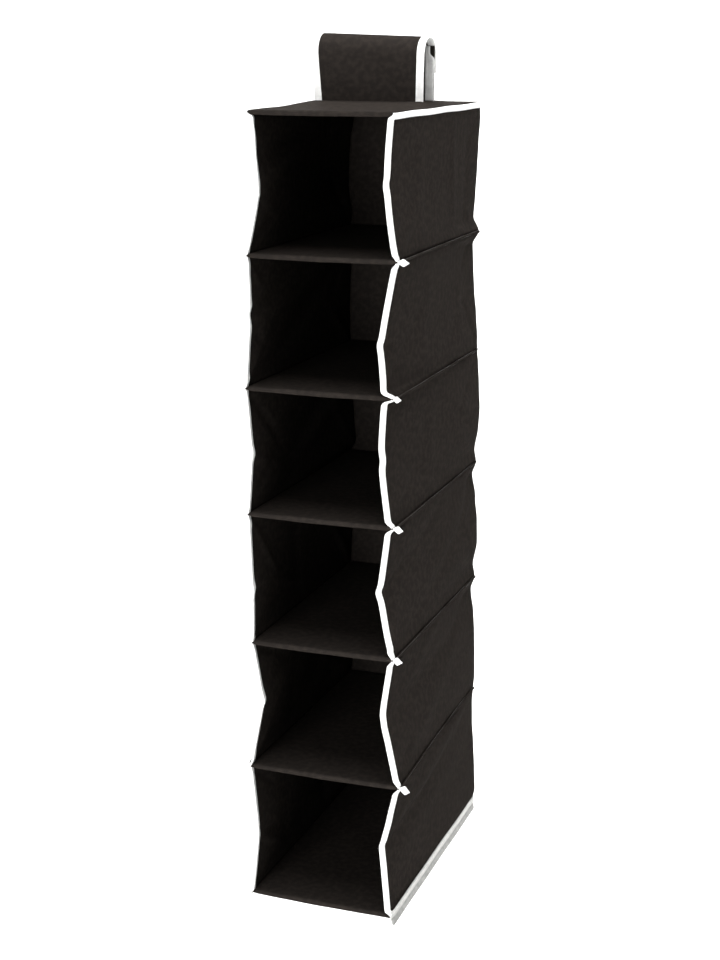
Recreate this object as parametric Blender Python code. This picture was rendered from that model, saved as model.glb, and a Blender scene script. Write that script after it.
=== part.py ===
"""Hanging shoe organiser: six open-fronted fabric compartments under a wide hanger loop.

Each shelf is a flat fabric sleeve round a board. The side and back panels are sewn to every shelf,
so the organiser folds up like a concertina: each shelf rises to the one above while the panels
between them crumple. The hanger is a strap that goes over a closet rod and closes with
hook-and-loop tape on a short stub behind it.

The frame is in metres: +X to the right, -Y to the open front, +Z up. Its origin is on the inside
of the hanger's crown, where the closet rod bears.
"""

import math

import bmesh
import bpy
from mathutils import Matrix, Vector

# Body
BODY_WIDTH = 0.160
BODY_DEPTH = 0.305
BODY_MIDDLE_Y = -0.010  # the rod hangs a little behind the body's middle, over its weight
PITCHES = (0.148, 0.141, 0.137, 0.143, 0.142, 0.148)  # seam to seam, from the top down
PANEL_THICKNESS = 0.0052  # a sleeve with its board inside
FABRIC = 0.001
SLEEVE_SKIN = 0.0008
GAP = 0.0003  # clearance between neighbouring solids
CARRIER_SIZE = 0.02  # how large the empties are drawn
CREASE_BOW = 0.009  # how far a side panel's front edge pulls in at half height
SEAM_FIN = 0.009  # how far the pinched seam stands out beside a shelf
FIN_THICKNESS = 0.0022
CURB_HEIGHT = 0.007  # the stitched root of the panels, which stays upright on its shelf

# Binding tape
TAPE_WIDTH = 0.008
TAPE_THICKNESS = 0.002
TAPE_LEAN = 0.003  # the front tape's free edge turns in by this much
EDGE_TAPE_HEIGHT = 0.0085
EDGE_TAPE_THICKNESS = 0.0015

# Hanger
LOOP_RADIUS = 0.0205  # inside of the crown
LOOP_HEIGHT = 0.078  # from the top panel to the outside of the crown
LOOP_WIDTH = 0.130
STRAP_THICKNESS = 0.0012
SPLIT_ANGLE = math.radians(45)  # the flap starts this far above the rear spring line
ARC_STEP = math.radians(7.5)
SHARP_ANGLE = math.radians(30)
FLAP_END_Z = -0.041
STUB_TOP_Z = -0.012
STUB_BINDING_TOP_Z = -0.026
FASTENER_THICKNESS = 0.001
FASTENER_HEIGHT = 0.018

# Worked out from the above
HALF_WIDTH = BODY_WIDTH / 2
HALF_PANEL = PANEL_THICKNESS / 2
HALF_LOOP = LOOP_WIDTH / 2
FRONT_Y = BODY_MIDDLE_Y - BODY_DEPTH / 2
BACK_Y = BODY_MIDDLE_Y + BODY_DEPTH / 2
TOP_Z = STRAP_THICKNESS - LOOP_HEIGHT  # the top panel's upper face
SEAM_Z = [TOP_Z - HALF_PANEL - sum(PITCHES[:n]) for n in range(len(PITCHES) + 1)]
STRAP_HALF_WIDTH = HALF_LOOP - TAPE_WIDTH - GAP
STRAP_SPILL = (TAPE_THICKNESS - STRAP_THICKNESS) / 2  # tape outside each face of the strap
HOOK_TAPE_Y = LOOP_RADIUS - GAP - FASTENER_THICKNESS
LOOP_TAPE_Y = HOOK_TAPE_Y - GAP - FASTENER_THICKNESS
STUB_Y = LOOP_TAPE_Y - GAP - STRAP_THICKNESS
HINGE_RADIUS = LOOP_RADIUS + TAPE_THICKNESS


def clear_scene():
    for thing in list(bpy.data.objects):
        bpy.data.objects.remove(thing, do_unlink=True)


def material(name, colour, roughness):
    made = bpy.data.materials.new(name)
    made.use_nodes = True
    shader = made.node_tree.nodes["Principled BSDF"]
    shader.inputs["Base Color"].default_value = (*colour, 1.0)
    shader.inputs["Roughness"].default_value = roughness
    shader.inputs["Metallic"].default_value = 0.0
    made.diffuse_color = (*colour, 1.0)
    return made


def carrier(name, place):
    """An empty on a joint's axis, which carries one body's pieces."""
    made = bpy.data.objects.new(name, None)
    made.empty_display_size = CARRIER_SIZE
    made.location = place
    bpy.context.scene.collection.objects.link(made)
    return made


def finish_mesh(name, shape, finish, body, smooth=False):
    """Turns a bmesh drawn in the frame into a named object on its body's empty."""
    bmesh.ops.recalc_face_normals(shape, faces=shape.faces)
    shape.transform(Matrix.Translation(-body.location))
    mesh = bpy.data.meshes.new(name)
    shape.to_mesh(mesh)
    shape.free()
    if smooth:
        mesh.shade_smooth()
        mesh.set_sharp_from_angle(angle=SHARP_ANGLE)
    made = bpy.data.objects.new(name, mesh)
    bpy.context.scene.collection.objects.link(made)
    made.data.materials.append(finish)
    made.parent = body
    return made


def box(name, low, high, finish, body):
    shape = bmesh.new()
    bmesh.ops.create_cube(shape, size=1.0)
    size = [b - a for a, b in zip(low, high)]
    middle = [(a + b) / 2 for a, b in zip(low, high)]
    bmesh.ops.scale(shape, vec=size, verts=shape.verts)
    bmesh.ops.translate(shape, vec=middle, verts=shape.verts)
    return finish_mesh(name, shape, finish, body)


def sheet(name, rows, offset, finish, body):
    """A thin closed solid: a grid of points and the same grid moved by offset, joined at the rim."""
    shape = bmesh.new()
    near = [[shape.verts.new(point) for point in row] for row in rows]
    far = [[shape.verts.new(Vector(point) + Vector(offset)) for point in row] for row in rows]
    for skin in (near, far):
        for upper, lower in zip(skin, skin[1:]):
            for n in range(len(upper) - 1):
                shape.faces.new((upper[n], upper[n + 1], lower[n + 1], lower[n]))
    columns = list(zip(*near)), list(zip(*far))
    rims = (near[0], far[0]), (near[-1], far[-1]), (columns[0][0], columns[1][0])
    for one, other in (*rims, (columns[0][-1], columns[1][-1])):
        for n in range(len(one) - 1):
            shape.faces.new((one[n], one[n + 1], other[n + 1], other[n]))
    return finish_mesh(name, shape, finish, body)


def extruded(name, outline, axis, start, end, finish, body, smooth=False):
    """A closed outline pushed along axis from start to end. Its points leave out that axis."""
    shape = bmesh.new()
    corners = []
    for point in outline:
        place = list(point)
        place.insert(axis, start)
        corners.append(shape.verts.new(place))
    cap = shape.faces.new(corners)
    extrusion = bmesh.ops.extrude_face_region(shape, geom=[cap])["geom"]
    moved = [part for part in extrusion if isinstance(part, bmesh.types.BMVert)]
    push = [0, 0, 0]
    push[axis] = end - start
    bmesh.ops.translate(shape, vec=push, verts=moved)
    return finish_mesh(name, shape, finish, body, smooth)


def apply_helper(target, shaper, operation):
    """Adds a Boolean with an object that is itself left out of the model."""
    shaper.hide_render = True
    shaper.display_type = "WIRE"
    step = target.modifiers.new(operation.lower(), "BOOLEAN")
    step.operation = operation
    step.object = shaper


def panel_outline(seam, fin, curb):
    """A panel's section across its width: a slab, with seam fins at its middle and curbs on top."""
    right = [(HALF_WIDTH, seam - HALF_PANEL)]
    if fin:
        tip = HALF_WIDTH + fin
        low = seam - FIN_THICKNESS / 2
        high = seam + FIN_THICKNESS / 2
        right += [(HALF_WIDTH, low), (tip, low), (tip, high), (HALF_WIDTH, high)]
    right += [(HALF_WIDTH, seam + HALF_PANEL + curb)]
    if curb:
        inside = HALF_WIDTH - FABRIC
        right += [(inside, seam + HALF_PANEL + curb), (inside, seam + HALF_PANEL)]
    return right + [(-x, z) for x, z in reversed(right)]


def build_panel(name, seam, fin, curb, body, finishes):
    """A fabric sleeve, open at the back, and the board that stiffens it."""
    fabric = finishes["fabric"]
    outline = panel_outline(seam, fin, curb)
    suffix = "cover" if name == "top" else "sleeve"
    sleeve = extruded(f"{name}_{suffix}", outline, 1, FRONT_Y, BACK_Y, fabric, body)
    side = HALF_WIDTH - FABRIC
    half = HALF_PANEL - SLEEVE_SKIN
    low = (-side, FRONT_Y + SLEEVE_SKIN, seam - half)
    high = (side, BACK_Y + FABRIC, seam + half)
    pocket = box(f"{name}_pocket_cutter", low, high, fabric, body)
    apply_helper(sleeve, pocket, "DIFFERENCE")
    if curb:
        inset = FABRIC / 4  # keeps the joined faces from coinciding
        low = (inset - HALF_WIDTH, BACK_Y - FABRIC, seam + half + SLEEVE_SKIN / 2)
        high = (HALF_WIDTH - inset, BACK_Y - inset, seam + HALF_PANEL + curb - inset)
        back_curb = box(f"{name}_back_curb", low, high, fabric, body)
        apply_helper(sleeve, back_curb, "UNION")
    low = (GAP - side, FRONT_Y + SLEEVE_SKIN + GAP, seam + GAP - half)
    high = (side - GAP, BACK_Y - FABRIC, seam + half - GAP)
    box(f"{name}_board", low, high, finishes["board"], body)


def build_compartment(number, body, finishes):
    """The side panels, back panel and front tapes of one compartment, hung from its upper seam."""
    top = SEAM_Z[number - 1] - HALF_PANEL - GAP
    bottom = SEAM_Z[number] + HALF_PANEL + CURB_HEIGHT + GAP
    levels = ((top, 0), ((top + bottom) / 2, CREASE_BOW), (bottom, 0))
    tape_back = FRONT_Y + TAPE_WIDTH
    wall_front = tape_back + GAP
    wall_back = BACK_Y - FABRIC - GAP
    for side, word in ((-1, "left"), (1, "right")):
        wall, tape = [], []
        for z, bow in levels:
            edge = HALF_WIDTH - bow
            wall.append([(side * edge, wall_front, z), (side * HALF_WIDTH, wall_back, z)])
            tape.append([(side * (edge - TAPE_LEAN), FRONT_Y, z), (side * edge, tape_back, z)])
        inwards = Vector((-side, 0, 0))
        sheet(f"{word}_wall_{number}", wall, FABRIC * inwards, finishes["fabric"], body)
        name = f"front_binding_{word}_{number}"
        sheet(name, tape, TAPE_THICKNESS * inwards, finishes["tape"], body)
    low = (-HALF_WIDTH, BACK_Y - FABRIC, bottom)
    high = (HALF_WIDTH, BACK_Y, top)
    box(f"back_wall_{number}", low, high, finishes["fabric"], body)


def build_edge_tapes(place, bottom, body, finishes):
    """The tape along a panel's two side edges."""
    start = HALF_WIDTH + GAP
    for side, word in ((-1, "left"), (1, "right")):
        edges = sorted((side * start, side * (start + EDGE_TAPE_THICKNESS)))
        low = (edges[0], FRONT_Y, bottom)
        high = (edges[1], BACK_Y, bottom + EDGE_TAPE_HEIGHT)
        box(f"{place}_binding_{word}", low, high, finishes["tape"], body)


def arc(radius, start, end):
    """Points round the crown. Angle 0 is its rear spring line, and half a turn its front one."""
    steps = max(1, round(abs(end - start) / ARC_STEP))
    angles = [start + (end - start) * n / steps for n in range(steps + 1)]
    return [(radius * math.cos(a), radius * math.sin(a) - LOOP_RADIUS) for a in angles]


def band_outline(spill, start, end, leg_end):
    """The side view of a band round the crown, with one straight leg from its spring line."""
    inner = LOOP_RADIUS - spill
    outer = LOOP_RADIUS + STRAP_THICKNESS + spill
    inside = arc(inner, start, end)
    outside = arc(outer, start, end)
    sign = math.cos(start)
    return [(sign * inner, leg_end), *inside, *outside[::-1], (sign * outer, leg_end)]


def build_side_tapes(name, outline, body, finishes, smooth=False):
    """The two tapes along the edges of the strap or of its stub."""
    inside = STRAP_HALF_WIDTH + GAP
    extruded(f"{name}_left", outline, 0, -HALF_LOOP, -inside, finishes["tape"], body, smooth)
    extruded(f"{name}_right", outline, 0, inside, HALF_LOOP, finishes["tape"], body, smooth)


def build_band(strap, tape, start, end, leg_end, body, finishes):
    """A stretch of the hanger strap with its two edge tapes."""
    half = STRAP_HALF_WIDTH
    outline = band_outline(0, start, end, leg_end)
    extruded(strap, outline, 0, -half, half, finishes["fabric"], body, smooth=True)
    outline = band_outline(STRAP_SPILL, start, end, leg_end)
    build_side_tapes(tape, outline, body, finishes, smooth=True)


def build_hanger(top, flap, finishes):
    """The strap over the rod, its opening flap, and the stub that the flap fastens to."""
    base = TOP_Z + GAP
    half_gap = GAP / LOOP_RADIUS / 2
    crown_end = SPLIT_ANGLE + half_gap
    build_band("hanger_strap", "strap_binding", math.pi, crown_end, base, top, finishes)
    flap_start = SPLIT_ANGLE - half_gap
    build_band("hanger_flap", "flap_binding", 0.0, flap_start, FLAP_END_Z, flap, finishes)
    half = STRAP_HALF_WIDTH
    low = (-half, STUB_Y, base)
    high = (half, STUB_Y + STRAP_THICKNESS, STUB_TOP_Z)
    box("hanger_stub", low, high, finishes["fabric"], top)
    faces = (STUB_Y - STRAP_SPILL, STUB_Y + STRAP_THICKNESS + STRAP_SPILL)
    ends = (base, STUB_BINDING_TOP_Z)
    outline = [(faces[0], ends[0]), (faces[1], ends[0]), (faces[1], ends[1]), (faces[0], ends[1])]
    build_side_tapes("stub_binding", outline, top, finishes)
    for name, y, body in (("hook_tape", HOOK_TAPE_Y, flap), ("loop_tape", LOOP_TAPE_Y, top)):
        low = (-half, y, -LOOP_RADIUS - FASTENER_HEIGHT)
        high = (half, y + FASTENER_THICKNESS, -LOOP_RADIUS)
        box(name, low, high, finishes["fastener"], body)


def main():
    clear_scene()
    finishes = {
        "fabric": material("black nonwoven fabric", (0.012, 0.011, 0.010), 0.75),
        "tape": material("white binding tape", (0.82, 0.82, 0.80), 0.8),
        "board": material("grey board", (0.28, 0.26, 0.23), 0.9),
        "fastener": material("hook-and-loop tape", (0.01, 0.01, 0.01), 0.9),
    }
    places = ["top"] + [f"shelf_{n}" for n in range(1, len(PITCHES))] + ["bottom"]
    bodies = [carrier(f"{p}_carrier", (0, BODY_MIDDLE_Y, z)) for p, z in zip(places, SEAM_Z)]
    hinge = Vector((0, math.cos(SPLIT_ANGLE), math.sin(SPLIT_ANGLE))) * HINGE_RADIUS
    flap = carrier("flap_carrier", hinge - Vector((0, 0, LOOP_RADIUS)))
    for place, seam, body in zip(places, SEAM_Z, bodies):
        fin = SEAM_FIN if place.startswith("shelf") else 0
        curb = 0 if place == "top" else CURB_HEIGHT
        build_panel(place, seam, fin, curb, body, finishes)
    for number, body in enumerate(bodies[:-1], 1):
        build_compartment(number, body, finishes)
    build_edge_tapes("top", TOP_Z - EDGE_TAPE_HEIGHT, bodies[0], finishes)
    build_edge_tapes("bottom", SEAM_Z[-1] - HALF_PANEL + GAP, bodies[-1], finishes)
    build_hanger(bodies[0], flap, finishes)


main()
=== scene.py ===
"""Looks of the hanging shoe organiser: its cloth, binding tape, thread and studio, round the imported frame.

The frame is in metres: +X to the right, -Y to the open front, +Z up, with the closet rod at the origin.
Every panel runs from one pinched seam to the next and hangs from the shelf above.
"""

import math

import bmesh
import bpy
import numpy as np
from bpy.props import FloatProperty, FloatVectorProperty, IntProperty, PointerProperty, StringProperty
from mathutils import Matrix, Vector


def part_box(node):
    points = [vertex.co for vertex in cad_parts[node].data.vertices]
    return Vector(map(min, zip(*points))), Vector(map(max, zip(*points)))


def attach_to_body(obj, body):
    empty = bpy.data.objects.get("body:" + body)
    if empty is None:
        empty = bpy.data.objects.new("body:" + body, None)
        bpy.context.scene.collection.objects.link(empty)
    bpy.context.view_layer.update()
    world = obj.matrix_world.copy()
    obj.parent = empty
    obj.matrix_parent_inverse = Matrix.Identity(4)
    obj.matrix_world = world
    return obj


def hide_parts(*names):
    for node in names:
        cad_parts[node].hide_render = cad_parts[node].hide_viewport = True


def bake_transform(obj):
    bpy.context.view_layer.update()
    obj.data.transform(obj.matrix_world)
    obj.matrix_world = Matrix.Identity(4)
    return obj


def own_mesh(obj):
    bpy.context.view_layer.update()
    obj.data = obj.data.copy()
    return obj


bl_info = {
    "name": "Hanging shoe organiser",
    "version": (1, 0, 0),
    "blender": (4, 5, 0),
    "location": "View3D > Sidebar > Organiser",
    "description": "Cloth, bindings, stitching and studio for a hanging shoe organiser",
    "category": "Object",
}

MM = 0.001
CLOTH_UV = "cloth"

# ---------------------------------------------------------------- the frame

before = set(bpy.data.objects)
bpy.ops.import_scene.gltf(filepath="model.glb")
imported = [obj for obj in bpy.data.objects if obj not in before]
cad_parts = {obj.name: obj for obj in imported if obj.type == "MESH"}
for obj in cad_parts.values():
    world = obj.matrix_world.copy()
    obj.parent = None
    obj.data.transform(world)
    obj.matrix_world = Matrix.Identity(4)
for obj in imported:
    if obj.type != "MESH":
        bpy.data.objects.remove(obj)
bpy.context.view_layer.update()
PLACES = ["top", "shelf_1", "shelf_2", "shelf_3", "shelf_4", "shelf_5", "bottom"]
SHELVES = PLACES[1:-1]
COMPARTMENTS = range(1, len(PLACES))
SIDES = {"left": -1, "right": 1}
SEAM_Z = [sum(corner.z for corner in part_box(f"{place}_board")) / 2 for place in PLACES]
HALF_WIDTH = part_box("back_wall_1")[1].x
FRONT_Y, BACK_Y = (corner.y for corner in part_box("top_cover"))
DEPTH = BACK_Y - FRONT_Y
TOP_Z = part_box("top_cover")[1].z
HALF_PANEL = TOP_Z - SEAM_Z[0]
BOTTOM_Z = SEAM_Z[-1] - HALF_PANEL
STRAP_LOW, STRAP_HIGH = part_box("hanger_strap")
STRAP_HALF = STRAP_HIGH.x
LOOP_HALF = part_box("strap_binding_right")[1].x
STRAP_THICKNESS = STRAP_HIGH.z
LOOP_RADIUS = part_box("hanger_flap")[1].y - STRAP_THICKNESS
LOOP_TAPE_WIDTH = LOOP_HALF - STRAP_HALF
FLAP_END_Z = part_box("hanger_flap")[0].z
STUB_LOW, STUB_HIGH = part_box("hanger_stub")
STUB_BINDING_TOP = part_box("stub_binding_right")[1].z

# ---------------------------------------------------------------- shapes of the cloth

ROOT_HALF = 1.1 * MM  # half the thickness of a pinched seam, where the panels above and below start
CURL_DEPTH = 12 * MM  # the front edge of each side panel curls in over this depth
CURL_REACH = {"right": 5.6 * MM, "left": 1.2 * MM}
SEWN_CURL = 0.15  # the share of the curl that is left at the seams
SEAM_CURL, CORNER_CURL = 7 * MM, 4 * MM  # the curl grows back over this height, at shelves and at corners
TAPE_CENTRE = 3.0 * MM  # the tape's middle, behind the front edge
FIN_FRONT, FIN_BACK = 6.0 * MM, 1.6 * MM  # how far the pinched seams stand out
SHELF_SAG, TOP_SAG = 0.8 * MM, 0.6 * MM  # how far the cloth hangs below a board's front
EDGE_OUT = 1.0 * MM  # how far the middle of an edge tape stands out from its panel
STITCH_LIFT = 0.1 * MM  # how far stitches stand off what they are sewn to
# The bottom's second tape: its narrowest and its full width as shares of its drop, and how far back it is full
UNDER_NARROW, UNDER_FULL = 0.15, 1.15
UNDER_START = {"right": 3 * MM, "left": 60 * MM}
STUB_TAPE_WIDTH = 11 * MM  # the stub's tape is folded over wider than the strap's
WALL_STEP_Y = 3.6 * MM
WALL_STEP_Z = 3.2 * MM
# Every list of six runs from the top compartment down, and of seven from the top seam down, in millimetres.
# How far the front edge of each panel pulls in at its crease
CREASE_BOW = {"right": [6.5, 8.0, 5.5, 10.5, 12.5, 12], "left": [9.5, 3.0, 4.5, 1.5, 12.5, 7]}
CREASE_AT = {"right": [0.5, 0.6, 0.48, 0.5, 0.44, 0.47], "left": [0.56, 0.4, 0.5, 0.6, 0.46, 0.52]}
# How soft each crease is: near nothing for a sharp kink, towards one for an even bow
CREASE_SOFTNESS = {"right": [0.5, 0.2, 0.35, 0.07, 0.05, 0.05], "left": [0.12, 0.3, 0.2, 0.3, 0.06, 0.1]}
# How far the front edge stands out next to each seam
ROOT_OUT = {"right": [-1, 4, -7.5, -2.5, 0.5, 8, -2], "left": [-5, 2, 5, 4, 0.5, 4, 3.5]}
# How far each panel billows out at the middle
BILLOW = [0.5, 1.0, 2.0, 3.0, 4.0, 3.5]
# How far the back edge stands out at these shares of each panel's height
BACK_STATIONS = [0, 0.1, 0.3, 0.5, 0.7, 0.9, 1]
BACK_LINE = [
    [0, 0.3, -1.5, -2.8, -4.5, -6.5, 0],
    [0, -7.0, -6.0, -4.5, -2.0, -0.2, 0],
    [0, 1.2, 2.6, 3.6, 2.2, -2.0, 0],
    [0, -4.5, 0.2, 2.2, 2.6, -2.4, 0],
    [0, -4.4, -1.0, 0.4, 1.0, 1.2, 0],
    [0, -1.4, -1.0, 1.0, 2.4, 3.4, 0.6],
]
# Long soft folds: from (depth, height) to (depth, height) as shares of the panel, width, how far out
LONG_FOLDS = {
    1: [(0.30, 0.05, 0.28, 0.95, 15, 0.9), (0.66, 0.05, 0.70, 0.90, 10, 1.2), (0.84, 0.1, 0.86, 0.9, 12, -1.0)],
    2: [(0.40, 0.10, 0.36, 0.90, 14, 0.9), (0.55, 0.90, 0.95, 0.45, 12, -1.0), (0.80, 0.05, 0.78, 0.8, 12, 1.0)],
    3: [(0.45, 0.05, 0.42, 0.80, 14, 1.0), (0.05, 0.55, 0.60, 0.92, 9, -1.4), (0.60, 0.20, 0.97, 0.60, 14, 1.3)],
    4: [(0.02, 0.50, 0.55, 0.12, 9, -1.8), (0.10, 0.98, 0.97, 0.35, 12, -2.2), (0.25, 0.95, 0.9, 0.05, 16, 1.6)],
    5: [(0.02, 0.45, 0.50, 0.05, 8, 1.5), (0.04, 0.52, 0.97, 0.20, 11, -2.4), (0.15, 0.95, 0.80, 0.30, 15, 1.8)],
    6: [(0.05, 0.30, 0.92, 0.03, 13, 3.2), (0.04, 0.50, 0.70, 0.16, 9, -2.0), (0.12, 0.62, 0.9, 0.3, 13, 1.6)],
}
SHORT_FOLDS = 7  # small folds that fan out from the pinched ends of each panel
# Each shelf's nubs: length and height as shares of the usual, and how far the tip hangs in millimetres
NUBS = [(1.1, 0.9, 0.4), (0.8, 0.8, 0.6), (1.0, 0.92, 1.6), (0.95, 1.0, 1.2), (1.05, 1.12, 2.4)]

SHAPE_SEED = 11


def rng(*keys):
    """A repeatable source of random numbers for one piece."""
    seed = SHAPE_SEED
    for key in keys:
        seed = seed * 31 + (key if isinstance(key, int) else sum(map(ord, key)))
    return np.random.default_rng(seed)


def smoothstep(low, high, value):
    t = np.clip((value - low) / (high - low), 0, 1)
    return t * t * (3 - 2 * t)


def fold(y, z, start, end, width, height):
    """A soft ridge (or, with a negative height, a valley) along the line from start to end, in metres."""
    a, b = np.array(start), np.array(end)
    along = b - a
    length = np.hypot(*along)
    t = ((y - a[0]) * along[0] + (z - a[1]) * along[1]) / length**2
    across = np.abs((y - a[0]) * along[1] - (z - a[1]) * along[0]) / length
    reach = np.clip(t, 0, 1)
    beyond = np.abs(t - reach) * length
    taper = np.sin(np.pi * (0.12 + 0.76 * reach)) ** 0.7
    return height * taper * np.exp(-((across**2 + beyond**2) / width**2))


def folds_of(word, number):
    """The folds of one side panel, each as start, end, width and height in panel shares and millimetres."""
    random = rng(word, number)
    long_folds = LONG_FOLDS[number if word == "right" else 7 - number]
    found = list(long_folds)
    crease = CREASE_AT[word][number - 1]
    for n in range(SHORT_FOLDS):
        corner_y, corner_z = ((0, 1), (0, crease), (0, 0), (1, 1), (1, 0))[n % 5]
        reach = random.uniform(0.12, 0.34)
        slope = random.uniform(0.15, 0.62)
        if corner_z == crease:
            slope *= random.choice((-0.6, 0.6))
        way_y = 1 if corner_y == 0 else -1
        way_z = -1 if corner_z == 1 else 1
        end_y, end_z = corner_y + way_y * reach, corner_z + way_z * slope
        width, height = random.uniform(4, 7), random.choice((-1, 1)) * random.uniform(0.7, 1.5)
        found.append((corner_y, corner_z, end_y, end_z, width, height))
    return found


def curl(word, y):
    """How far a side panel's front edge turns in, y being measured in the frame."""
    share = np.clip(1 - (y - FRONT_Y) / CURL_DEPTH, 0, None)
    return CURL_REACH[word] * share**2


def curl_share(number, z):
    """How much of its curl a compartment's front edge has, for it stands straight where it is sewn to a shelf."""
    high, low = panel_ends(number)
    upper = CORNER_CURL if number == 1 else SEAM_CURL
    lower = CORNER_CURL if number == len(COMPARTMENTS) else SEAM_CURL
    return SEWN_CURL + (1 - SEWN_CURL) * smoothstep(0, upper, high - z) * smoothstep(0, lower, z - low)


def line_through(stations, values, v):
    """A soft line through a few values at their stations."""
    stations, values = np.array(stations), np.array(values, float)
    found = np.clip(np.searchsorted(stations, v) - 1, 0, len(stations) - 2)
    t = np.clip((v - stations[found]) / (stations[found + 1] - stations[found]), 0, 1)
    t = 0.35 * t + 0.65 * t * t * (3 - 2 * t)
    return values[found] + (values[found + 1] - values[found]) * t


def panel_ends(number):
    """The heights at which a compartment's panels start and stop."""
    return SEAM_Z[number - 1] - ROOT_HALF, SEAM_Z[number] + ROOT_HALF


def side_surface(word, number, y, z):
    """Where a side panel stands: x for every y and z, which may be arrays."""
    high, low = panel_ends(number)
    u = (y - FRONT_Y) / DEPTH
    v = (high - z) / (high - low)
    crease = CREASE_AT[word][number - 1] + 0.10 * np.sin(2.2 * u + number) * u
    t = np.where(v < crease, (crease - v) / crease, (v - crease) / (1 - crease))
    softness = CREASE_SOFTNESS[word][number - 1] + 0.25 * np.clip(u, 0, 1)
    peak = (np.sqrt(1 + softness**2) - np.sqrt(t**2 + softness**2)) / (np.sqrt(1 + softness**2) - softness)
    ends = smoothstep(0, 0.10, v) * smoothstep(0, 0.10, 1 - v)
    inward = CREASE_BOW[word][number - 1] * MM * np.clip(1 - u, 0, 1) ** 1.25 * np.clip(peak, 0, None)
    order = number - 1 if word == "right" else (number + 2) % 5
    inward = inward - MM * line_through(BACK_STATIONS, BACK_LINE[order], v) * smoothstep(0.35, 1, u)
    inward = inward - MM * BILLOW[number - 1] * np.sin(np.pi * np.clip(v, 0, 1)) * np.sin(np.pi * np.clip(u, 0, 1))
    upper, lower = ROOT_OUT[word][number - 1], ROOT_OUT[word][number]
    upper = upper * (smoothstep(0, CORNER_CURL, high - z) if upper < 0 else 1)
    lower = lower * (smoothstep(0, CORNER_CURL, z - low) if lower < 0 else 1)
    inward = inward - MM * np.clip(1 - u, 0, 1) ** 2 * (upper + (lower - upper) * v)
    for y0, z0, y1, z1, width, height in folds_of(word, number):
        start = (FRONT_Y + y0 * DEPTH, high - z0 * (high - low))
        end = (FRONT_Y + y1 * DEPTH, high - z1 * (high - low))
        inward = inward - ends * fold(y, z, start, end, width * MM, height * MM)
    return SIDES[word] * (HALF_WIDTH - inward - curl(word, y) * curl_share(number, z))


# ---------------------------------------------------------------- mesh helpers


def add_object(name, mesh, finish=None):
    made = bpy.data.objects.new(name, mesh)
    bpy.context.scene.collection.objects.link(made)
    if finish:
        made.data.materials.append(finish)
    return made


def arc_lengths(points):
    """The distance along each line of points."""
    steps = np.linalg.norm(np.diff(points, axis=0), axis=-1)
    return np.concatenate([np.zeros((1, *steps.shape[1:])), np.cumsum(steps, axis=0)])


def grid_object(name, points, finish, wrap=False, cap=False):
    """A mesh from a grid of points, rows by columns, with a UV map in metres along the cloth.
    wrap joins the last column to the first, and cap closes the first and last rows."""
    rows, columns = points.shape[:2]
    index = np.arange(rows * columns).reshape(rows, columns)
    across = range(columns if wrap else columns - 1)
    faces, corners = [], []
    long_way = arc_lengths(points).mean(axis=1)
    closed = np.concatenate([points, points[:, :1]], axis=1) if wrap else points
    cross_way = arc_lengths(closed.transpose(1, 0, 2)).mean(axis=1)
    for r in range(rows - 1):
        for c in across:
            d = (c + 1) % columns
            faces.append((index[r, c], index[r, d], index[r + 1, d], index[r + 1, c]))
            for i, j in ((r, c), (r, c + 1), (r + 1, c + 1), (r + 1, c)):
                corners.append((cross_way[j], long_way[i]))
    if cap:
        for row in (0, rows - 1):
            faces.append(tuple(index[row]))
            corners += [(cross_way[c], long_way[row]) for c in range(columns)]
    mesh = bpy.data.meshes.new(name)
    mesh.from_pydata(points.reshape(-1, 3).tolist(), [], [tuple(map(int, f)) for f in faces])
    layer = mesh.uv_layers.new(name=CLOTH_UV)
    layer.data.foreach_set("uv", np.array(corners, np.float32).ravel())
    mesh.shade_smooth()
    shape = bmesh.new()
    shape.from_mesh(mesh)
    if wrap:
        bmesh.ops.recalc_face_normals(shape, faces=shape.faces)
    shape.to_mesh(mesh)
    shape.free()
    return add_object(name, mesh, finish)


def facing(made, outward):
    """Turns an open sheet over if it faces away from the outward direction."""
    normal = np.zeros(3)
    for face in made.data.polygons:
        normal += np.array(face.normal) * face.area
    if normal @ np.array(outward) < 0:
        made.data.flip_normals()
    return made


def settle(made):
    """Works a piece's modifiers into its mesh."""
    graph = bpy.context.evaluated_depsgraph_get()
    mesh = bpy.data.meshes.new_from_object(made.evaluated_get(graph))
    made.modifiers.clear()
    old = made.data
    made.data = mesh
    mesh.name = made.name
    bpy.data.meshes.remove(old)
    return made


def thicken(made, thickness, offset=0.0):
    step = made.modifiers.new("thickness", "SOLIDIFY")
    step.thickness = thickness
    step.offset = offset
    step.use_even_offset = False
    return settle(made)


# A bound edge's section: shares of its width and thickness. The step near one edge is the sewn groove.
TAPE_SECTION = (
    (-0.50, 0.00), (-0.485, 0.28), (-0.42, 0.44), (-0.25, 0.50), (0.10, 0.48), (0.24, 0.36), (0.36, 0.42),
    (0.46, 0.36), (0.50, 0.00), (0.46, -0.36), (0.36, -0.42), (0.24, -0.36), (0.10, -0.48), (-0.25, -0.50),
    (-0.42, -0.44), (-0.485, -0.28),
)
GROOVE = (0.24, 0.36)


def tape(name, line, width, thickness, finish):
    """A bound edge: the tape's section carried along a line, with its ends closed, and its two sewn lines.
    A line is its middle with its width and outward directions."""
    centre, width_way, normal = line
    rows = []
    for a, b in TAPE_SECTION:
        rows.append(centre + a * width * width_way + b * thickness * normal)
    made = grid_object(name, np.stack(rows, axis=1), finish, wrap=True, cap=True)
    a, b = GROOVE
    base = centre + a * width * width_way
    rise = (b * thickness + STITCH_LIFT) * normal
    return made, [base + rise, base - rise]


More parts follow.
